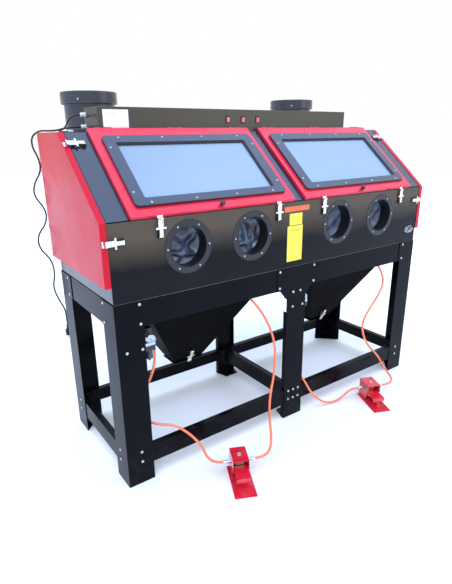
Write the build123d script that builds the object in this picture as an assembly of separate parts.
from build123d import *
import os
from math import atan2, cos, degrees, radians, sin, tan

# Two-station sandblast cabinet. Millimetres, +Z up, the operator stands at -Y.
# The origin is the middle of the stand's footprint, on the floor.

# ---- driving dimensions -------------------------------------------------------
stand_width = 1830.0
stand_depth = 615.0
stand_height = 810.0          # floor to the foot of the front panel
front_panel_top = 1110.0      # where the vertical front meets the slope
cabinet_top = 1411.0
slope_run = 351.0             # how far back the slope reaches
apron_bottom = 701.0
bracket_slot = (586.0, 656.0)    # heights of the gap in a centre leg's lips for the regulator
leg_sheet = 3.0
sheet = 2.0
corner_leg_width = 117.0
corner_leg_head = 126.0
center_leg_width = 120.0
center_leg_head = 248.0
foot_thickness = 5.0
rail_low, rail_high, rail_flange = 80.0, 160.0, 30.0
anchor_x, anchor_y, anchor_radius = 880.0, 272.0, 6.5

window_near, window_far = 32.0, 822.0       # red window door, distances from the middle
window_length = 468.0
window_thickness = 14.0
frame_near, frame_far, frame_low, frame_high = 64.0, 786.0, 42.0, 412.0
glass_near, glass_far, glass_low, glass_high = 116.0, 740.0, 78.0, 371.0
frame_thickness = 12.0

side_door_thickness = 25.0
side_door_bottom = 877.0
side_door_back = 319.5

port_centers = (-585.0, -266.0, 266.0, 585.0)
port_height = 984.0
port_radius, ring_radius, ring_depth = 81.5, 106.0, 55.0

hopper_center = 457.0
hopper_top_half_width, hopper_top_half_depth = 342.0, 290.0
hopper_bottom_half_width = 75.0
hopper_bottom_front, hopper_bottom_back = -40.0, 60.0
hopper_top, hopper_bottom = 800.0, 355.0
hopper_sheet = 3.5

light_box_left, light_box_right = -768.0, 669.0
light_box_front, light_box_back, light_box_top = 56.0, 203.0, 1507.0
switch_centers = (-135.0, -46.0, 43.0)
switch_height = 1461.0
switch_pin = 1.0

collector_x, collector_y = 644.0, 464.0
collector_radius, collector_lid_radius = 116.0, 129.0
collector_bottom, collector_lid_bottom, collector_lid_top = 980.0, 1537.0, 1588.0
duct_height, duct_radius = 1250.0, 50.0
collector_gland_height, collector_gland_turn = 1415.0, 200.0

front_latch_centers = (-707.0, -128.0, 152.0, 737.0)
front_latch_height = 1062.0
side_latch_height = 1039.0
side_latch_slope = 390.0
side_latch_x = 878.0

regulator_left_x, regulator_right_x = -767.0, 67.0
bracket_bolts_left, bracket_bolts_right = (-877.0, -812.0), (-24.0, 40.5)
regulator_y, regulator_z = -266.0, 620.0

hose_radius = 5.5
cord_radius = 3.75
cable_radius = 3.0
press_gap = 0.05

# ---- worked out from them ---------------------------------------------------------
left, right = -stand_width / 2, stand_width / 2
front, back = -stand_depth / 2, stand_depth / 2
cab_front, cab_back = front + leg_sheet, back - leg_sheet
cab_left, cab_right = left + leg_sheet, right - leg_sheet
knee_y = cab_front + slope_run
slope_angle = degrees(atan2(cabinet_top - front_panel_top, slope_run))
slope_sin, slope_cos = sin(radians(slope_angle)), cos(radians(slope_angle))
slope_length = slope_run / slope_cos
deck_bottom = stand_height - leg_sheet

slope = Plane(origin=(0, cab_front, front_panel_top), x_dir=(1, 0, 0), z_dir=(0, -slope_sin, slope_cos))

collector_gland_way = (cos(radians(collector_gland_turn)), sin(radians(collector_gland_turn)), 0.0)
collector_gland_x = collector_gland_way[0] * collector_radius - collector_x
collector_gland_y = collector_gland_way[1] * collector_radius + collector_y

nodes = {}


def box(x0, x1, y0, y1, z0, z1):
    """A block between two opposite corners."""
    middle = Pos((x0 + x1) / 2, (y0 + y1) / 2, (z0 + z1) / 2)
    return middle * Box(abs(x1 - x0), abs(y1 - y0), abs(z1 - z0))


def rod(start, end, radius):
    """A round bar from one point to another."""
    along = Vector(*end) - Vector(*start)
    plane = Plane(origin=start, z_dir=along)
    return extrude(plane * Circle(radius), along.length)


def plate(points, plane, thickness):
    """A flat sheet whose outline is given in a plane."""
    face = make_face(plane * Polyline(*points, close=True))
    return extrude(face, thickness, dir=plane.z_dir)


def side_plane(x, toward=1):
    """The YZ plane at x. Its normal points along +X, or -X where toward is -1."""
    return Plane(origin=(x, 0, 0), x_dir=(0, toward, 0), z_dir=(toward, 0, 0))


def keep(name, *shapes):
    """Store one node: one solid, or a group of separate solids."""
    solids = [solid for shape in shapes for solid in shape.solids()]
    nodes[name] = solids[0] if len(solids) == 1 else Compound(children=solids)


def mirrored(shape):
    return mirror(shape, about=Plane.YZ)


def two_sides(shape):
    return [shape, mirrored(shape)]


# ---- stand --------------------------------------------------------------------------
def corner_leg(x_side, y_side):
    """Folded angle leg with a wider head and a three-cornered foot plate."""
    outer_x, outer_y = abs(left), abs(front)
    inner_x, inner_y = outer_x - leg_sheet, outer_y - leg_sheet
    width = corner_leg_width
    leg = box(outer_x - width, outer_x, inner_y, outer_y, 0, deck_bottom)
    leg += box(inner_x, outer_x, outer_y - width, outer_y, 0, deck_bottom)
    leg += box(outer_x - corner_leg_head, outer_x, inner_y, outer_y, apron_bottom, deck_bottom)
    leg += box(inner_x, outer_x, outer_y - corner_leg_head, outer_y, apron_bottom, deck_bottom)
    outline = [(inner_x, inner_y), (outer_x - width, inner_y), (inner_x, outer_y - width)]
    leg += plate(outline, Plane.XY, foot_thickness)
    leg -= Pos(anchor_x, anchor_y, 0) * Cylinder(anchor_radius, 4 * foot_thickness)
    if x_side < 0:
        leg = mirror(leg, about=Plane.YZ)
    if y_side < 0:
        leg = mirror(leg, about=Plane.XZ)
    return leg


def center_leg(y_side):
    """Flat leg with narrow lips, a chamfered T head and a foot plate that reaches inwards."""
    half, head = center_leg_width / 2, center_leg_head / 2
    chamfer, lip = 42.0, 20.0
    outline = [
        (-head, deck_bottom), (head, deck_bottom), (head, apron_bottom),
        (half + chamfer, apron_bottom), (half, apron_bottom - chamfer), (half, 0),
        (-half, 0), (-half, apron_bottom - chamfer), (-half - chamfer, apron_bottom),
        (-head, apron_bottom),
    ]
    face_plane = Plane(origin=(0, back, 0), x_dir=(1, 0, 0), z_dir=(0, -1, 0))
    leg = plate(outline, face_plane, leg_sheet)
    lip_top = apron_bottom - chamfer
    for side in (-1, 1):
        edge = side * half
        low, high = 0, rail_low - 1
        inward = edge - side * sheet
        leg += box(edge, inward, cab_back - lip, back, low, high)
        leg += box(edge, inward, cab_back - lip, back, rail_high + 1, lip_top)
        leg -= box(edge + side, inward - side, cab_back - lip - 1, cab_back - 0.5, *bracket_slot)
    foot = [(-half, cab_back), (half, cab_back), (half - 20, cab_back - 78), (-half + 20, cab_back - 78)]
    leg += plate(foot, Plane.XY, foot_thickness)
    return leg if y_side > 0 else mirror(leg, about=Plane.XZ)


def angle_along_x(length, outer_y, flange_side, low, high, flange, flange_on_top):
    """Rail along X: an upright web and one flange that turns inwards."""
    web = box(-length / 2, length / 2, outer_y, outer_y + flange_side * sheet, low, high)
    level = high - sheet if flange_on_top else low
    return web + box(-length / 2, length / 2, outer_y, outer_y + flange_side * flange, level, level + sheet)


def angle_along_y(length, outer_x, flange_side, low, high, flange, flange_on_top):
    """Rail along Y, made the same way."""
    web = box(outer_x, outer_x + flange_side * sheet, -length / 2, length / 2, low, high)
    level = high - sheet if flange_on_top else low
    return web + box(outer_x, outer_x + flange_side * flange, -length / 2, length / 2, level, level + sheet)


def make_stand():
    for y_name, y_side in (("front", -1), ("rear", 1)):
        for x_name, x_side in (("left", -1), ("right", 1)):
            keep(f"leg_{y_name}_{x_name}", corner_leg(x_side, y_side))
    keep("center_legs", center_leg(-1), center_leg(1))
    long_length = cab_right - cab_left
    short_length = 2 * (cab_back - rail_flange - 1)
    apron_flange = 20.0
    apron_short = 2 * (cab_back - apron_flange - 1)
    keep(
        "aprons",
        angle_along_x(long_length, cab_front, 1, apron_bottom, deck_bottom, apron_flange, False),
        angle_along_x(long_length, cab_back, -1, apron_bottom, deck_bottom, apron_flange, False),
        angle_along_y(apron_short, cab_left, 1, apron_bottom, deck_bottom, apron_flange, False),
        angle_along_y(apron_short, cab_right, -1, apron_bottom, deck_bottom, apron_flange, False),
    )
    keep(
        "stretchers",
        angle_along_x(long_length, cab_front, 1, rail_low, rail_high, rail_flange, True),
        angle_along_x(long_length, cab_back, -1, rail_low, rail_high, rail_flange, True),
        angle_along_y(short_length, cab_left, 1, rail_low, rail_high, rail_flange, True),
        angle_along_y(short_length, cab_right, -1, rail_low, rail_high, rail_flange, True),
        angle_along_y(short_length, -rail_flange / 2, 1, rail_low, rail_high, rail_flange, True),
    )


def bolt_head(radius, height):
    """A low domed head that stands on the XY plane."""
    head = Cylinder(radius, height, align=(Align.CENTER, Align.CENTER, Align.MIN))
    return fillet(head.edges().sort_by(Axis.Z)[-1], height * 0.6)


def make_bolts():
    """Every zinc bolt head of the stand and every screw of the four glove rings."""
    bolt, screw = bolt_head(6.5, 4.0), bolt_head(4.0, 2.2)
    toward_front = Plane(origin=(0, front, 0), x_dir=(1, 0, 0), z_dir=(0, -1, 0)).location
    toward_back = Plane(origin=(0, back, 0), x_dir=(-1, 0, 0), z_dir=(0, 1, 0)).location
    toward_left = Plane(origin=(left, 0, 0), x_dir=(0, -1, 0), z_dir=(-1, 0, 0)).location
    toward_right = Plane(origin=(right, 0, 0), x_dir=(0, 1, 0), z_dir=(1, 0, 0)).location
    apron_rows, rail_rows, bracket_row, head_row = (795, 716), (152, 105), 610, 684
    heads = []
    for face in (toward_front, toward_back):
        for x in (-812, -109, 109, 812):
            heads += [face * Pos(x, z, 0) * bolt for z in apron_rows]
        for x in (-850, -33, 0, 33, 850):
            heads += [face * Pos(x, z, 0) * bolt for z in rail_rows]
        heads += [face * Pos(x, head_row, 0) * bolt for x in (-23, 23)]
    for x in bracket_bolts_left + bracket_bolts_right:
        heads.append(toward_front * Pos(x, bracket_row, 0) * bolt)
    for face in (toward_left, toward_right):
        for y in (-208, 208):
            heads += [face * Pos(y, z, 0) * bolt for z in apron_rows]
        for y in (-241, 241):
            heads += [face * Pos(y, z, 0) * bolt for z in rail_rows]
    ring_face = Plane(origin=(0, cab_front - sheet, 0), x_dir=(1, 0, 0), z_dir=(0, -1, 0)).location
    screw_circle = (port_radius + ring_radius) / 2
    for center in port_centers:
        around = Pos(center, port_height, 0) * PolarLocations(screw_circle, 6)
        heads += [ring_face * spot * screw for spot in around]
    keep("frame_bolts", *heads)


# ---- cabinet shell ----------------------------------------------------------------------
def cabinet_outline(inset=0.0):
    """The cabinet's side outline as (y, z) points, moved inwards by an inset."""
    lip = inset / slope_cos
    low_z, high_z = stand_height + inset, cabinet_top - inset
    front_y, back_y = cab_front + inset, cab_back - inset
    rise = tan(radians(slope_angle))
    front_z = front_panel_top + rise * inset - lip
    top_y = knee_y - inset / rise + lip / rise
    return [(front_y, low_z), (front_y, front_z), (top_y, high_z), (back_y, high_z), (back_y, low_z)]


def make_shell():
    panel = box(cab_left, cab_right, cab_front, cab_front + sheet, stand_height, front_panel_top - 2)
    for center in port_centers:
        panel -= Pos(center, cab_front, port_height) * Rot(90, 0, 0) * Cylinder(port_radius + 3, 20)
    keep("front_panel", panel)

    # The sloped frame around the two windows: its outer face is the slope plane.
    frame = box(cab_left + sheet, cab_right - sheet, 3, slope_length - 3, -sheet, 0)
    for side in (-1, 1):
        near, far = window_near + 28, window_far - 28
        frame -= box(side * near, side * far, 30, slope_length - 30, -10, 10)
    keep("slope_frame", slope.location * frame)

    top = box(cab_left, cab_right, knee_y, cab_back, cabinet_top - sheet, cabinet_top)
    lamp_slot = box(light_box_left + 40, light_box_right - 40, light_box_front + 22, light_box_back - 22,
                    cabinet_top - 10, cabinet_top + 10)
    rear = box(cab_left, cab_right, cab_back - sheet, cab_back, stand_height, cabinet_top)
    shell = top - lamp_slot + rear
    for side in (-1, 1):
        hole = Pos(side * collector_x, cab_back, duct_height) * Rot(90, 0, 0)
        shell -= hole * Cylinder(duct_radius - sheet, 20)
    keep("rear_shell", shell)

    border = 38.0
    outline, opening = cabinet_outline(sheet + 0.5), cabinet_outline(border)
    opening[0] = (opening[0][0], side_door_bottom + 15)
    opening[-1] = (opening[-1][0], side_door_bottom + 15)
    plane = side_plane(cab_left)
    wall = plate(outline, plane, sheet) - plate(opening, side_plane(cab_left - 5), 20)
    keep("end_frames", *two_sides(wall))


def tapered_block(top_rect, top_z, bottom_rect, bottom_z):
    """A four-sided block between two level rectangles given as (x0, x1, y0, y1)."""
    faces = []
    for (x0, x1, y0, y1), z in ((top_rect, top_z), (bottom_rect, bottom_z)):
        corners = [(x0, y0), (x1, y0), (x1, y1), (x0, y1)]
        faces.append(make_face(Plane.XY.offset(z) * Polyline(*corners, close=True)))
    return loft(faces)


def hopper_rect(z, inset=0.0):
    """The hopper's outer rectangle at a height, as (x0, x1, y0, y1), for the right-hand one."""
    part = (hopper_top - z) / (hopper_top - hopper_bottom)
    half = hopper_top_half_width + (hopper_bottom_half_width - hopper_top_half_width) * part - inset
    low_y = -hopper_top_half_depth + (hopper_bottom_front + hopper_top_half_depth) * part + inset
    high_y = hopper_top_half_depth + (hopper_bottom_back - hopper_top_half_depth) * part - inset
    return (hopper_center - half, hopper_center + half, low_y, high_y)


def hopper_slab(side, extra=0.0):
    """The slab that the front wall (side -1) or the rear wall (side 1) of a hopper lies in."""
    rects = []
    for z in (hopper_top, hopper_bottom - 10):
        outer, inner = hopper_rect(z, -1), hopper_rect(z, hopper_sheet + extra)
        near, far = (2, 2) if side < 0 else (3, 3)
        rects.append((outer[0], outer[1], *sorted((outer[near], inner[far]))))
    return tapered_block(rects[0], hopper_top, rects[1], hopper_bottom - 10)


def make_hopper(side):
    """Four walls welded edge to edge under a wide top flange, half of the cabinet's floor."""
    outer = tapered_block(hopper_rect(hopper_top), hopper_top, hopper_rect(hopper_bottom), hopper_bottom)
    high, low, seam = hopper_top, hopper_bottom - 10, 0.1
    inner = tapered_block(hopper_rect(high, hopper_sheet), high, hopper_rect(low, hopper_sheet), low)
    walls = [outer & hopper_slab(-1), outer & hopper_slab(1)]
    walls += (outer - inner - hopper_slab(-1, seam) - hopper_slab(1, seam)).solids()
    x0, x1, y0, y1 = hopper_rect(hopper_top)
    inset = hopper_sheet
    flange = box(x0, x1, y0, y1, hopper_top + seam, deck_bottom)
    flange += box(0.5, cab_right, cab_front, cab_back, deck_bottom, stand_height - 0.5)
    flange -= box(x0 + inset, x1 - inset, y0 + inset, y1 - inset, hopper_top - 1, stand_height + 5)
    pieces = [*walls, flange]
    if side < 0:
        pieces = [mirrored(piece) for piece in pieces]
    points = gun_hose_left if side < 0 else gun_hose_right
    hole = rod(*hose_wall_points(points), hose_radius + 6)
    return [piece - hole for piece in pieces]


def hose_wall_points(points):
    """The straight run of a gun hose that passes through its hopper's front wall, made longer."""
    start, end = Vector(*points[wall_run]), Vector(*points[wall_run + 1])
    way = (end - start).normalized()
    return tuple(start - way * 12), tuple(end)


hose_slot_x = (-273.0, 617.0)


def make_grates():
    """A lift-out bar grate over each hopper, lying on the floor flange."""
    x0, x1, y0, y1 = hopper_rect(hopper_top)
    low, high, border, bar, pitch = stand_height, stand_height + 6, 20.0, 4.0, 32.0
    x0, x1, y0, y1 = x0 - 12, x1 + 12, y0 + 6, y1 - 6
    grate = box(x0, x1, y0, y1, low, high) - box(x0 + border, x1 - border, y0 + border, y1 - border, 0, 2000)
    count = int((x1 - x0 - 2 * border) / pitch)
    first = (x0 + x1) / 2 - pitch * (count - 1) / 2
    for index in range(count):
        x = first + pitch * index
        grate += box(x - bar / 2, x + bar / 2, y0 + border - 2, y1 - border + 2, low, high)
    middle = (y0 + y1) / 2
    grate += box(x0 + border - 2, x1 - border + 2, middle - 3, middle + 3, low, high)
    slots = [box(x - 21, x + 21, y0 + border, -165, low - 1, high + 1) for x in hose_slot_x]
    keep("work_grates", mirrored(grate) - slots[0], grate - slots[1])


# ---- latches ----------------------------------------------------------------------------
# In a latch's own frame X is its width, Y points to the keeper and Z stands off the panel.
latch_pivot_y, latch_pivot_z, latch_pin = -22.0, 9.0, 1.5
latch_reach = 40.0
keeper_near, keeper_far, keeper_height = 44.0, 47.0, 16.0


def latch_base():
    base = box(-14, 14, -27, 20, 0, 2)
    for side in (-1, 1):
        base += box(side * 9, side * 11, -27, -17, 0, 13)
    base += rod((-11, latch_pivot_y, latch_pivot_z), (11, latch_pivot_y, latch_pivot_z), latch_pin)
    return base


def latch_lever():
    """The pull lever with its bail: arms, cross wings and the bar that meets the keeper."""
    lever = rod((-8.4, latch_pivot_y, latch_pivot_z), (8.4, latch_pivot_y, latch_pivot_z), 4)
    lever += box(-7, 7, latch_pivot_y + 1, 24, 8.5, 12)
    lever += box(-21, 21, 6, 13, 8.5, 13.5)
    for side in (-1, 1):
        lever += rod((side * 9, 8, 11.5), (side * 9, latch_reach, 11.5), 2)
    lever += rod((-11, latch_reach, 11.5), (11, latch_reach, 11.5), 2)
    bore = latch_pin + press_gap
    return lever - rod((-20, latch_pivot_y, latch_pivot_z), (20, latch_pivot_y, latch_pivot_z), bore)


def latch_keeper(foot):
    """A hooked keeper on a door: a foot plate from height foot, and the lip."""
    keeper = box(-11, 11, keeper_near, keeper_near + 13, foot, foot + 2.5)
    return keeper + box(-11, 11, keeper_near, keeper_far, foot, keeper_height)


def front_latch_frame(x):
    return Plane(origin=(x, cab_front, front_latch_height), x_dir=(1, 0, 0), z_dir=(0, -1, 0)).location


def lower_side_latch_frame(side):
    origin = (side * side_latch_x, cab_front, side_latch_height)
    return Plane(origin=origin, x_dir=(0, 0, -side), z_dir=(0, -1, 0)).location


def upper_side_latch_frame(side):
    origin = slope.from_local_coords((side * side_latch_x, side_latch_slope, 0))
    up_slope = slope.y_dir
    return Plane(origin=origin, x_dir=up_slope * -side, z_dir=slope.z_dir).location


def hopper_latch_frame(side):
    """On the hopper's front wall, pointing down it to the clean-out door."""
    wall = Vector(0, hopper_bottom_front + hopper_top_half_depth, hopper_bottom - hopper_top).normalized()
    edge = Vector(side * hopper_center, hopper_bottom_front, hopper_bottom)
    outward = Vector(0, wall.Z, -wall.Y)
    return Plane(origin=edge - wall * keeper_near, x_dir=(-1, 0, 0), z_dir=outward).location


def make_latches():
    names = ("left_outer", "left_inner", "right_inner", "right_outer")
    frames = {f"window_latch_{name}": front_latch_frame(x) for name, x in zip(names, front_latch_centers)}
    for name, side in (("left", -1), ("right", 1)):
        frames[f"side_latch_lower_{name}"] = lower_side_latch_frame(side)
        frames[f"side_latch_upper_{name}"] = upper_side_latch_frame(side)
        frames[f"hopper_latch_{name}"] = hopper_latch_frame(side)
    for name, frame in frames.items():
        keep(name, frame * latch_lever())
    keep("latch_bases", *[frame * latch_base() for frame in frames.values()])
    return frames


# ---- hinges --------------------------------------------------------------------------------
knuckle_radius, hinge_pin = 4.5, 2.0
knuckle_length, knuckle_gap = 24.0, 0.6
window_axis_s, window_axis_n = 473.2, 8.0
window_hinge_offsets = (100.0, 427.0, 754.0)
side_axis_x, side_axis_y = 926.5, 326.0
side_hinge_heights = (945.0, 1330.0)
hopper_axis_y, hopper_axis_z = 72.0, 352.5


def knuckles(center, axis, moving):
    """Three knuckles in a row about a point: the middle one fixed with its pin, two moving."""
    along = Vector(*axis)
    middle = Vector(*center)
    half, step = knuckle_length / 2, knuckle_length + knuckle_gap

    def barrel(offset, length, radius):
        start, end = middle + along * (offset - length / 2), middle + along * (offset + length / 2)
        return rod(tuple(start), tuple(end), radius)

    if not moving:
        return barrel(0, 2 * half, knuckle_radius) + barrel(0, 2 * half + 2 * knuckle_length, hinge_pin)
    bore = hinge_pin + press_gap
    return [barrel(side * step, knuckle_length, knuckle_radius) - barrel(side * step, 100, bore)
            for side in (-1, 1)]


def window_axis_point(x):
    return tuple(slope.from_local_coords((x, window_axis_s, window_axis_n)))


def fixed_hinges():
    """The cabinet's half of every hinge, each with its pin."""
    leaves = []
    half = knuckle_length / 2
    for side in (-1, 1):
        for offset in window_hinge_offsets:
            x, y, z = window_axis_point(side * offset)
            leaf = box(x - half, x + half, y + 2.4, y + 4.4, cabinet_top, z)
            leaves.append(leaf + knuckles((x, y, z), (1, 0, 0), False))
        for height in side_hinge_heights:
            x, y, half_z = side * side_axis_x, side_axis_y, half
            low, high = height - half_z, height + half_z
            inner = side * (cab_right - 6)
            leaf = box(inner - side * 34, inner, cab_back, cab_back + sheet, low, high)
            leaf += box(inner - side * sheet, inner, cab_back, y + 3, low, high)
            leaf += box(inner - side * sheet, x - side * hinge_pin, y + 1, y + 3, low, high)
            leaves.append(leaf + knuckles((x, y, height), (0, 0, 1), False))
        x, y, z = side * hopper_center, hopper_axis_y, hopper_axis_z
        leaf = box(x - half, x + half, y - 1, y + 1, z, z + 20)
        leaf += box(x - half, x + half, 69.3, y, z + 18, z + 20)
        leaves.append(leaf + knuckles((x, y, z), (1, 0, 0), False))
    return leaves


# ---- doors -----------------------------------------------------------------------------------
def make_window_door(side):
    """Red pan door with a window, hinged along its top edge."""
    middle, width = (window_near + window_far) / 2, window_far - window_near
    face = Pos(middle, window_length / 2, 0) * RectangleRounded(width, window_length, 6)
    pan = Pos(0, 0, 1.5) * extrude(face, window_thickness - 1.5)
    hollow = box(window_near + sheet, window_far - sheet, sheet, window_length - sheet,
                 -1, window_thickness - sheet)
    pan -= hollow
    pan -= box(glass_near - 14, glass_far + 14, glass_low - 14, glass_high + 14, 0, 40)
    for offset in window_hinge_offsets:
        for step in (-1, 1):
            x = offset + step * (knuckle_length + knuckle_gap)
            pan += box(x - knuckle_length / 2, x + knuckle_length / 2, window_length - sheet,
                       window_axis_s - 2.2, window_axis_n - 2, window_axis_n + 2)
    if side < 0:
        pan = mirrored(pan)
    door = slope.location * pan
    for offset in window_hinge_offsets:
        point = window_axis_point(side * offset)
        for barrel in knuckles(point, (1, 0, 0), True):
            door += barrel
        pin_bore = hinge_pin + press_gap
        reach = 1.5 * knuckle_length + 2
        door -= rod((point[0] - reach, *point[1:]), (point[0] + reach, *point[1:]), pin_bore)
    for center in front_latch_centers:
        if center * side > 0:
            door += box(center - 11, center + 11, -311.5, -309, 1106, 1121.5)
            door += box(center - 11, center + 11, -320.5, -309, 1106, 1109)
    return door


def window_ring(side):
    """The raised black frame that clamps the glass."""
    width, height = frame_far - frame_near, frame_high - frame_low
    middle = Pos((frame_near + frame_far) / 2, (frame_low + frame_high) / 2, window_thickness)
    ring = middle * extrude(RectangleRounded(width, height, 16), frame_thickness)
    opening = Pos((glass_near + glass_far) / 2, (glass_low + glass_high) / 2, 0)
    hole = RectangleRounded(glass_far - glass_near, glass_high - glass_low, 5)
    ring -= opening * extrude(hole, 60)
    ring = chamfer(ring.faces().sort_by(Axis.Z)[-1].outer_wire().edges(), 1.5)
    return slope.location * (ring if side > 0 else mirrored(ring))


def window_glass(side):
    pane = box(glass_near - 12, glass_far + 12, glass_low - 12, glass_high + 12,
               window_thickness - 5, window_thickness - 0.2)
    return slope.location * (pane if side > 0 else mirrored(pane))


def side_door_outline(inset=0.0):
    """The side door's outline as (y, z) points, moved inwards by an inset."""
    rise = tan(radians(slope_angle))
    lip = inset / slope_cos
    front_y, back_y = front + inset, side_door_back - inset
    low_z, high_z = side_door_bottom + inset, cabinet_top - inset
    front_z = front_panel_top + rise * inset - lip
    knee = front + slope_run - inset / rise + lip / rise
    return [(front_y, low_z), (front_y, front_z), (knee, high_z), (back_y, high_z), (back_y, low_z)]


def make_side_door(side, frames):
    """Red pan that closes one end of the cabinet, hinged along its rear edge."""
    outer = cab_right + 2
    pan = plate(side_door_outline(), side_plane(outer), side_door_thickness)
    pan -= plate(side_door_outline(sheet), side_plane(outer - 1), side_door_thickness + 1 - sheet)
    stiffener = plate(side_door_outline(60), side_plane(outer + side_door_thickness - 6), 4.5)
    pan += stiffener - plate(side_door_outline(64), side_plane(outer), 60)
    for height in side_hinge_heights:
        for step in (-1, 1):
            z = height + step * (knuckle_length + knuckle_gap)
            pan += box(outer + 2, outer + side_door_thickness - 2, side_door_back - 1, side_door_back + 3,
                       z - knuckle_length / 2, z + knuckle_length / 2)
        for barrel in knuckles((side_axis_x, side_axis_y, height), (0, 0, 1), True):
            pan += barrel
        reach = 1.5 * knuckle_length + 2
        pan -= rod((side_axis_x, side_axis_y, height - reach), (side_axis_x, side_axis_y, height + reach),
                   hinge_pin + press_gap)
    door = mirrored(pan) if side < 0 else pan
    name = "left" if side < 0 else "right"
    door += frames[f"side_latch_lower_{name}"] * latch_keeper(2.0)
    door += frames[f"side_latch_upper_{name}"] * latch_keeper(1.0)
    return door


def make_hopper_door(side, frames):
    """Clean-out door under a hopper, hinged at its rear edge."""
    center = side * hopper_center
    half = hopper_bottom_half_width + 6
    low, high = hopper_bottom - 3.5, hopper_bottom - 1.5
    door = box(center - half, center + half, hopper_bottom_front - 8, hopper_axis_y - 6, low, high)
    point = (center, hopper_axis_y, hopper_axis_z)
    for step in (-1, 1):
        x = center + step * (knuckle_length + knuckle_gap)
        door += box(x - knuckle_length / 2, x + knuckle_length / 2, hopper_axis_y - 8,
                    hopper_axis_y - 2.2, low, high)
    for barrel in knuckles(point, (1, 0, 0), True):
        door += barrel
    reach = 1.5 * knuckle_length + 2
    door -= rod((center - reach, *point[1:]), (center + reach, *point[1:]), hinge_pin + press_gap)
    name = "left" if side < 0 else "right"
    lip = box(-11, 11, keeper_near, keeper_far, 2, keeper_height)
    return door + frames[f"hopper_latch_{name}"] * lip


# ---- glove ports ----------------------------------------------------------------------------------
def port_location(center):
    """A frame at a glove port: Z points out of the cabinet, towards the operator."""
    return Plane(origin=(center, cab_front, port_height), x_dir=(1, 0, 0), z_dir=(0, -1, 0)).location


def glove_ring():
    flange = extrude(Circle(ring_radius), sheet)
    tube = Pos(0, 0, -ring_depth) * extrude(Circle(port_radius + 2.5), ring_depth)
    ring = flange + tube - Pos(0, 0, -100) * extrude(Circle(port_radius), 200)
    return fillet(ring.faces().sort_by(Axis.Z)[-1].outer_wire().edges(), 1.2)


def glove():
    """A glove hanging in its sleeve: an open cuff behind the ring, then the arm and hand."""
    cuff_out, wall = port_radius + 6.0, 3.0
    start, bend, tip = -ring_depth - 0.5, -95.0, -150.0
    outer = Pos(0, 0, bend) * extrude(Circle(cuff_out), start - bend)
    inner = Pos(0, 0, bend) * extrude(Circle(cuff_out - wall), 100)
    taper = loft([Plane.XY.offset(bend) * Circle(cuff_out), Plane.XY.offset(tip) * Pos(0, -14) * Circle(52)])
    hollow = loft([Plane.XY.offset(bend) * Circle(cuff_out - wall),
                   Plane.XY.offset(tip + wall) * Pos(0, -14) * Circle(52 - wall)])
    arm = Pos(0, -62, tip + 26) * Rot(90, 0, 0) * Cylinder(24, 70)
    return outer + taper + arm - inner - hollow


def make_ports():
    keep("glove_rings", *[port_location(center) * glove_ring() for center in port_centers])
    keep("gloves", *[port_location(center) * glove() for center in port_centers])


# ---- light box, switches and dust collectors -----------------------------------------------------------
def rocker(x):
    """A rocker standing in its off position; it turns on the pin behind its face."""
    pivot = Pos(x, light_box_front + 1, switch_height)
    block = Pos(0, -2.5, 0) * Box(15, 9, 22)
    block = chamfer(block.edges().filter_by(Axis.X).group_by(Axis.Y)[0], 1.5)
    return pivot * Rot(7, 0, 0) * block - switch_axle(x, switch_pin + press_gap)


def switch_axle(x, radius):
    y = light_box_front + 1
    return rod((x - 11, y, switch_height), (x + 11, y, switch_height), radius)


def make_light_box():
    low = cabinet_top
    outer = box(light_box_left, light_box_right, light_box_front, light_box_back, low, light_box_top)
    inner = box(light_box_left + sheet, light_box_right - sheet, light_box_front + sheet,
                light_box_back - sheet, low - 1, light_box_top - sheet)
    housing = fillet(outer.edges().filter_by(Axis.X).group_by(Axis.Z)[-1], 2.5) - inner
    bezels = []
    for x in switch_centers:
        housing -= box(x - 10, x + 10, light_box_front - 1, light_box_front + 5,
                       switch_height - 14, switch_height + 14)
        housing += switch_axle(x, switch_pin)
        bezel = box(x - 11.5, x + 11.5, light_box_front - 2, light_box_front - 0.2,
                    switch_height - 16, switch_height + 16)
        bezels.append(bezel - box(x - 8.2, x + 8.2, 0, 100, switch_height - 12.5, switch_height + 12.5))
    tubes = [rod((-560, y, 1462), (460, y, 1462), 13) for y in (105, 155)]
    lens = box(light_box_left + 30, light_box_right - 30, light_box_front + 12, light_box_back - 12,
               cabinet_top + 0.2, cabinet_top + 5)
    keep("light_box", housing, *bezels, *tubes, lens)
    names = ("rocker_lights", "rocker_collector_left", "rocker_collector_right")
    for name, x in zip(names, switch_centers):
        keep(name, rocker(x))


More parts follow.
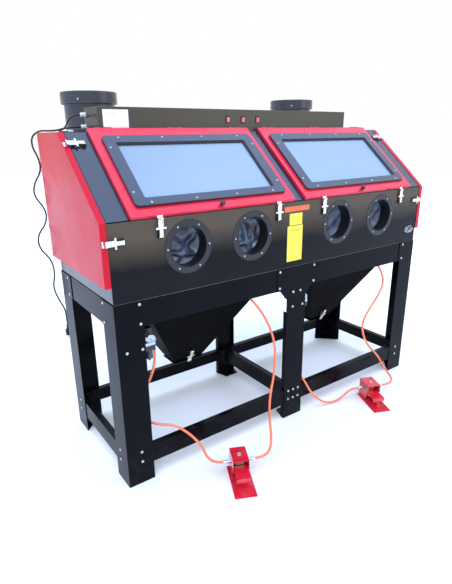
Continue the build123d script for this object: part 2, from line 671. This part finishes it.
def collector():
    """Canister with its duct and bracket, then the lid, the filter and the blower motor."""
    center = Pos(collector_x, collector_y, 0)
    height = collector_lid_bottom + 8 - collector_bottom
    body = Pos(0, 0, collector_bottom) * extrude(Circle(collector_radius), height)
    body += Pos(0, 0, collector_bottom) * extrude(Circle(collector_radius + 5), 14)
    body += Pos(0, 0, collector_bottom + 150) * extrude(Circle(collector_radius + 4), 6)
    body = center * body
    body += rod((collector_x, cab_back, duct_height), (collector_x, collector_y, duct_height), duct_radius)
    for z in (1060, 1400):
        body += box(collector_x - 70, collector_x + 70, cab_back, collector_y, z, z + 4)
    hollow = Pos(0, 0, collector_bottom + sheet) * extrude(Circle(collector_radius - sheet), height)
    body -= center * hollow
    body -= rod((collector_x, cab_back - 5, duct_height), (collector_x, collector_y, duct_height),
                duct_radius - sheet)
    lid_height = collector_lid_top - collector_lid_bottom
    lid = extrude(Circle(collector_lid_radius), lid_height)
    lid = fillet(lid.edges().sort_by(Axis.Z)[-1], 4)
    lid -= Pos(0, 0, -sheet) * extrude(Circle(collector_lid_radius - sheet), lid_height)
    lid = center * Pos(0, 0, collector_lid_bottom) * lid
    spokes = [Rot(0, 0, 60 + 120 * turn) * box(collector_radius, collector_lid_radius - 1, -6, 6, 3, 8)
              for turn in range(3)]
    for spoke in spokes:
        lid += center * Pos(0, 0, collector_lid_bottom) * spoke
    cartridge = extrude(Circle(75), 280) - extrude(Circle(45), 280)
    motor = extrude(Circle(60), 90)
    base = collector_bottom + 170
    return [body, lid, center * Pos(0, 0, base) * cartridge, center * Pos(0, 0, base + 282) * motor]


def make_collectors():
    keep("dust_collectors", *collector(), *[mirrored(piece) for piece in collector()])


# ---- air regulators ---------------------------------------------------------------------------------------
knob_bottom = 654.0


def regulator(x, side, bolts):
    """Filter regulator: body, elbow towards side, bowl, gauge and the bracket that bolts to the leg."""
    y, z = regulator_y, regulator_z
    body = box(x - 17, x + 17, y - 17, y + 17, z - 22, z + 22)
    body = fillet(body.edges().filter_by(Axis.Z), 5)
    body += rod((x, y, z + 22), (x, y, knob_bottom - 0.5), 14)
    body += rod((x, y, z + 22), (x, y, knob_bottom + 22), 3)
    body += rod((x, y + 17, z - 6), (x, y + 34, z - 6), 9)
    body -= rod((x, y + 22, z - 6), (x, y + 40, z - 6), 5.7)
    elbow = box(x + side * 17, x + side * 32, y - 8, y + 8, z - 8, z + 8)
    elbow = fillet(elbow.edges().filter_by(Axis.Y), 4)
    body += elbow + rod((x + side * 25, y, z - 8), (x + side * 25, y, z - 16), 7.5)
    bowl = rod((x, y, z - 22.2), (x, y, z - 78), 15)
    bowl = fillet(bowl.edges().sort_by(Axis.Z)[0], 5) + rod((x, y, z - 76), (x, y, z - 86), 5)
    gauge = rod((x, y - 17.2, z + 14), (x, y - 27, z + 14), 19)
    gauge = fillet(gauge.edges().sort_by(Axis.Y)[0], 1.5)
    bracket = box(bolts[0] - 22, x + 14, cab_front + 4, cab_front + 7, z - 30, z + 4)
    for bolt_x in bolts:
        bracket += rod((bolt_x, cab_front + 0.2, 610), (bolt_x, cab_front + 5, 610), 7)
    bracket += box(x + 10, x + 14, cab_front + 4, y - 17.3, z - 30, z + 4)
    bracket += box(x - 14, x + 14, cab_front + 6, y - 17.3, z - 30, z - 27)
    return [body, bowl, gauge, bracket]


def make_regulators():
    pieces = regulator(regulator_left_x, 1, bracket_bolts_left)
    pieces += regulator(regulator_right_x, -1, bracket_bolts_right)
    keep("air_regulators", *pieces)
    for name, x in (("left", regulator_left_x), ("right", regulator_right_x)):
        knob = rod((x, regulator_y, knob_bottom), (x, regulator_y, knob_bottom + 24), 16)
        knob = fillet(knob.edges().sort_by(Axis.Z)[-1], 3)
        for turn in range(10):
            flute = Pos(x, regulator_y, 0) * Rot(0, 0, 36 * turn) * Pos(17.2, 0, knob_bottom + 12)
            knob -= flute * Cylinder(2.4, 40)
        bore = rod((x, regulator_y, knob_bottom - 1), (x, regulator_y, knob_bottom + 22.5), 3 + press_gap)
        keep(f"regulator_knob_{name}", knob - bore)


# ---- foot pedals -----------------------------------------------------------------------------------------------
# In a pedal's own frame the origin is the base plate's rear left corner, seen by the operator
# from above, X points to the right and Y points back towards the cabinet, so its front is at -Y.
pedal_left_corner, pedal_left_turn = (-513.0, -437.0), -25.5
pedal_right_corner, pedal_right_turn = (437.0, -372.0), -23.8
pedal_width, pedal_length, pedal_sheet = 94.0, 200.0, 3.0
housing_left, housing_right, housing_length, housing_height = 12.0, 82.0, 98.0, 98.0
fitting_y, fitting_z = -50.0, 68.0
treadle_axis_y, treadle_axis_z = -58.0, 18.0


def pedal_location(corner, turn):
    return Pos(corner[0], corner[1], 0) * Rot(0, 0, turn)


def pedal_body():
    """Base plate with its folded housing, and the valve with a fitting on each side."""
    base = box(0, pedal_width, -pedal_length, 0, 0, pedal_sheet)
    x0, x1 = housing_left, housing_right
    housing = box(x0, x1, -housing_length, 0, pedal_sheet, housing_height)
    housing -= box(x0 + pedal_sheet, x1 - pedal_sheet, -housing_length - 5, -pedal_sheet,
                   pedal_sheet, housing_height - pedal_sheet)
    low_front = [(-housing_length - 1, pedal_sheet), (-housing_length - 1, 54), (-housing_length + 8, 54),
                 (-housing_length + 26, pedal_sheet)]
    housing -= plate(low_front, side_plane(-5), 120)
    middle = (x0 + x1) / 2
    for x in (x0 + pedal_sheet, x1 - pedal_sheet):
        housing -= rod((x - 10, fitting_y, fitting_z), (x + 10, fitting_y, fitting_z), 8.2)
    housing -= rod((middle, fitting_y, 80), (middle, fitting_y, 120), 7.2)
    for side, x in ((1, x0), (-1, x1)):
        housing += rod((x - side * 3, treadle_axis_y, treadle_axis_z),
                       (x + side * 9, treadle_axis_y, treadle_axis_z), 3)
    valve = box(middle - 19, middle + 19, fitting_y - 15, fitting_y + 15, 52, 86)
    valve = fillet(valve.edges().filter_by(Axis.X), 4)
    for side, x in ((-1, x0), (1, x1)):
        valve += rod((middle, fitting_y, fitting_z), (x + side, fitting_y, fitting_z), 8)
        hexagon = extrude(Plane(origin=(x + side * 0.2, fitting_y, fitting_z), z_dir=(side, 0, 0))
                          * RegularPolygon(9.5, 6), 10)
        valve += hexagon
        valve += rod((x + side * 9, fitting_y, fitting_z), (x + side * 20, fitting_y, fitting_z), 6.5)
    valve += rod((middle, fitting_y, 80), (middle, fitting_y, housing_height + 3), 7)
    return [base + housing, valve]


def treadle():
    """Bent tread plate between two ears that turn on the housing's pivot studs."""
    x0, x1 = housing_left + pedal_sheet + 0.6, housing_right - pedal_sheet - 0.6
    thick = 3.0
    top = 53.0
    tread = box(x0, x1, -152, -68, top - thick, top)
    lip = box(x0, x1, -155, -152, top - 17, top - 1)
    edge = rod((x0, -152, top - 3), (x1, -152, top - 3), 3)
    shape = tread + lip + edge
    for x in (x0, x1 - thick):
        ear = [(-120, top), (-66, top), (treadle_axis_y + 7, treadle_axis_z + 6),
               (treadle_axis_y + 7, treadle_axis_z - 7), (treadle_axis_y - 7, treadle_axis_z - 7), (-84, 34)]
        shape += plate(ear, side_plane(x), thick)
    reach = pedal_width
    bore = rod((0, treadle_axis_y, treadle_axis_z), (reach, treadle_axis_y, treadle_axis_z), 3 + press_gap)
    return shape - bore


def make_pedals():
    for name, corner, turn in (("left", pedal_left_corner, pedal_left_turn),
                               ("right", pedal_right_corner, pedal_right_turn)):
        place = pedal_location(corner, turn)
        keep(f"pedal_{name}", *[place * piece for piece in pedal_body()])
        keep(f"treadle_{name}", place * treadle())


# ---- hoses and cables -----------------------------------------------------------------------------------------------
# Routes are corner points. Every corner is rounded as far as its two runs allow.
supply_hose_left = [
    (-742, -266, 604), (-742, -266, 562), (-748, -268, 505), (-768, -262, 445), (-798, -248, 382),
    (-816, -240, 318), (-808, -256, 262), (-760, -290, 238), (-700, -330, 234), (-648, -366, 186),
    (-616, -402, 136), (-610, -432, 90), (-582, -459.5, 68), (-541.7, -478.7, 68),
]
gun_hose_left = [
    (-442.5, -526.0, 68), (-410.9, -541.1, 68), (-372, -546, 72), (-338, -532, 86), (-308, -498, 112),
    (-280, -456, 146), (-235, -396, 176), (-185, -346, 216), (-149, -325, 275), (-125, -306, 350),
    (-114, -290, 430), (-136, -276, 520), (-176, -264, 600), (-224, -260, 662), (-262, -256, 704),
    (-268, -214, 772), (-280, -178, 826), (-318, -150, 850), (-362, -128, 838), (-398, -112, 831),
    (-432.5, -96.7, 831),
]
supply_hose_right = [
    (42, -266, 604), (42, -266, 560), (44, -262, 500), (48, -256, 420), (54, -252, 340),
    (60, -258, 266), (68, -282, 206), (80, -314, 168), (98, -334, 120), (138, -344, 66),
    (192, -354, 24), (250, -364, 9), (304, -376, 24), (342, -386, 56), (372.9, -398.4, 68),
    (409.5, -414.5, 68),
]
gun_hose_right = [
    (510.1, -458.9, 68), (546.7, -475.1, 68), (598, -475, 67), (640, -448, 66), (661, -404, 75),
    (669, -364, 99), (662, -338, 138), (631, -327, 181), (576, -322, 232), (534, -306, 304),
    (532, -292, 385), (608, -282, 455), (698, -272, 520), (734, -264, 585), (706, -258, 650),
    (654, -256, 706), (634, -214, 772), (612, -180, 826), (566, -152, 850), (520, -134, 838),
    (483, -120, 831), (447.4, -106.5, 831),
]
power_cord = [
    (-790, 193, 1432), (-818, 193, 1432), (-850, 210, 1428), (-870, 252, 1420), (-892, 300, 1418),
    (-922, 344, 1420), (-950, 370, 1396), (-952, 374, 1352), (-932, 368, 1306), (-930, 362, 1252),
    (-966, 366, 1200), (-974, 372, 1146), (-930, 370, 1082), (-936, 364, 1022), (-984, 366, 968),
    (-980, 372, 906), (-934, 372, 846), (-928, 366, 782), (-946, 364, 716), (-928, 368, 652),
    (-902, 370, 594), (-900, 370, 544), (-900, 370, 508),
]
collector_cable = [
    (-790, 189, 1479), (-808, 189, 1479), (-827, 194, 1471), (-839, 206, 1454), (-843, 226, 1436),
    (-845, 260, 1424), (-845, 304, 1419), (-838, 348, 1417), (-820, 384, 1416), (-796.2, 408.5, 1415),
    (-773.9, 416.7, 1415),
]
wall_run = -7          # the run of a gun hose that passes through its hopper's wall, from its end


def corner_radii(points):
    """The largest arc that each corner's two runs leave room for."""
    radii = []
    for before, here, after in zip(points, points[1:], points[2:]):
        run_in, run_out = Vector(*here) - Vector(*before), Vector(*after) - Vector(*here)
        half_turn = radians(run_in.get_angle(run_out)) / 2
        radii.append(0.45 * min(run_in.length, run_out.length) / tan(half_turn))
    return radii


def make_tube(name, points, radius):
    radii = corner_radii(points)
    path = FilletPolyline(*points, radius=radii)
    start = Plane(origin=points[0], z_dir=Vector(*points[1]) - Vector(*points[0]))
    tube = sweep(start * Circle(radius), path=path)
    section = 3.141592653589793 * radius ** 2
    error = tube.volume / (section * path.length) - 1
    print(f"{name}: length {path.length:.0f} mm, volume error {100 * error:.2f} %, "
          f"tightest radius {min(radii):.0f} mm, radii {[round(value) for value in radii]}")
    keep(name, tube)


def gland(x, y, z, direction):
    """A cable gland: hexagon nut, then a domed cap with the cable's hole."""
    way = Vector(*direction)
    plane = Plane(origin=(x, y, z), z_dir=way)
    body = extrude(plane * RegularPolygon(11, 6), 6)
    cap = extrude(plane.offset(6) * Circle(9), 16)
    cap = fillet(cap.edges().sort_by(Axis(origin=(x, y, z), direction=direction))[-1], 4)
    return body + cap


def make_cables():
    make_tube("supply_hose_left", supply_hose_left, hose_radius)
    make_tube("gun_hose_left", gun_hose_left, hose_radius)
    make_tube("supply_hose_right", supply_hose_right, hose_radius)
    make_tube("gun_hose_right", gun_hose_right, hose_radius)
    make_tube("power_cord", power_cord, cord_radius)
    make_tube("collector_cable", collector_cable, cable_radius)
    end_x = light_box_left
    keep(
        "cable_glands",
        gland(end_x, 193, 1432, (-1, 0, 0)),
        gland(end_x, 189, 1479, (-1, 0, 0)),
        gland(collector_gland_x, collector_gland_y, collector_gland_height, collector_gland_way),
    )
    x, y, z = power_cord[-1]
    plug = rod((x, y, z), (x, y, z - 22), 7)
    plug += Pos(x, y, z - 36) * Box(26, 18, 30)
    plug = fillet(plug.edges().filter_by(Axis.Z), 4)
    for offset in (-6.5, 6.5):
        plug += box(x + offset - 0.8, x + offset + 0.8, y - 3.2, y + 3.2, z - 68, z - 50)
    plug += rod((x, y + 6, z - 50), (x, y + 6, z - 70), 2.4)
    keep("power_plug", plug)


def blast_gun(tail, way):
    """A siphon gun lying on its grate: handle block, barrel and nozzle in line with the hose."""
    frame = Plane(origin=tail, z_dir=way)
    gun = extrude(frame * Circle(9), 26)
    gun += extrude(frame.offset(24) * Circle(14), 62)
    gun += extrude(frame.offset(84) * Circle(10), 30)
    gun += extrude(frame.offset(112) * Circle(6.5), 34)
    return gun - extrude(frame.offset(110) * Circle(3.2), 60)


def make_guns():
    guns = []
    for points in (gun_hose_left, gun_hose_right):
        way = Vector(*points[-1]) - Vector(*points[-2])
        guns.append(blast_gun(points[-1], way.normalized()))
    keep("blast_guns", *guns)


def main():
    make_stand()
    make_bolts()
    make_shell()
    frames = make_latches()
    for name, side in (("left", -1), ("right", 1)):
        keep(f"hopper_{name}", *make_hopper(side))
        keep(f"hopper_door_{name}", make_hopper_door(side, frames))
        keep(f"window_door_{name}", make_window_door(side))
        keep(f"window_frame_{name}", window_ring(side))
        keep(f"window_glass_{name}", window_glass(side))
        keep(f"side_door_{name}", make_side_door(side, frames))
    keep("door_hinges", *fixed_hinges())
    make_grates()
    make_ports()
    make_light_box()
    make_collectors()
    make_regulators()
    make_pedals()
    make_cables()
    make_guns()
    os.makedirs("parts", exist_ok=True)
    for name, shape in nodes.items():
        export_step(shape, f"parts/{name}.step")
    print(len(nodes), "nodes")


main()
